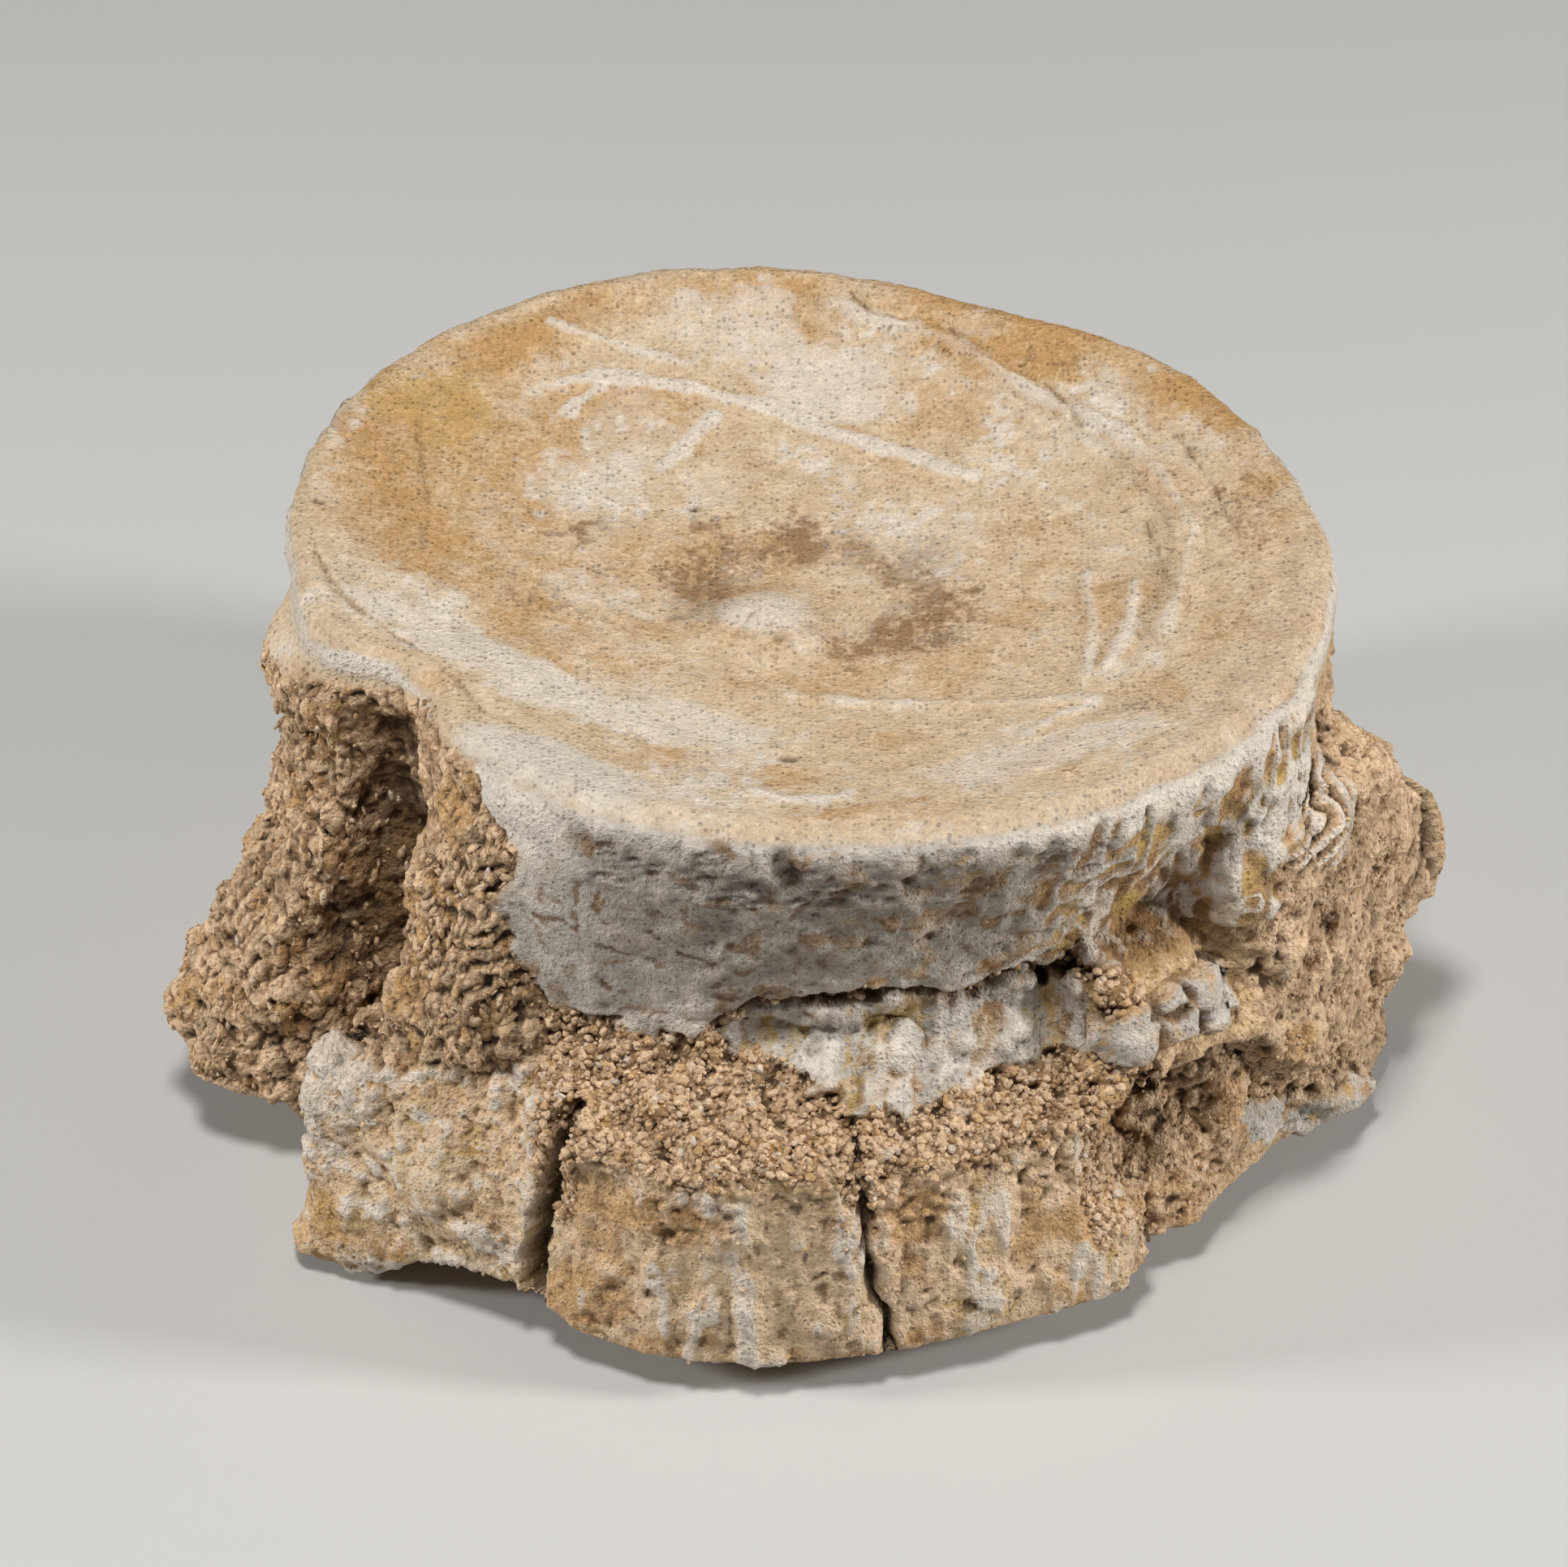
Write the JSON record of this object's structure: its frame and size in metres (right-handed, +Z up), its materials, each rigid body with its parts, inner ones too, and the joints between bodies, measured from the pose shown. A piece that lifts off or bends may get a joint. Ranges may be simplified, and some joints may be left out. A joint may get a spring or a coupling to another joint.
{
  "type": "fossil vertebra",
  "caption": "Fossil marine reptile vertebra: a spool-shaped centrum with a dished upper end, broken processes and a cracked lower rim.",
  "frame": {"origin": "on the floor, under the middle of the bone's box", "axes": "+Z up along the axis of the centrum, +X across the bone towards the stub of its right side process, and -Y towards the viewer"},
  "size_m": [0.1306, 0.112, 0.065],
  "materials": {
    "end_face_bone": "dry mineralised bone, fine pores, ochre stains",
    "crust_bone": "dry mineralised bone, smooth grey-white crust over spongy bone",
    "broken_bone": "rough broken spongy bone with sand in its pores",
    "rim_bone": "mottled, cracked bone"
  },
  "bodies": {
    "root": {"upper_end_plate": "end_face_bone", "centrum_waist": "crust_bone", "lower_end": "rim_bone", "left_pedicle_stub": "broken_bone", "middle_pedicle_stub": "broken_bone", "right_process_stub": "broken_bone", "back_process_stub": "broken_bone", "rim_fragment_left": "rim_bone", "rim_fragment_middle": "rim_bone", "rim_fragment_right": "rim_bone"}
  },
  "joints": []
}
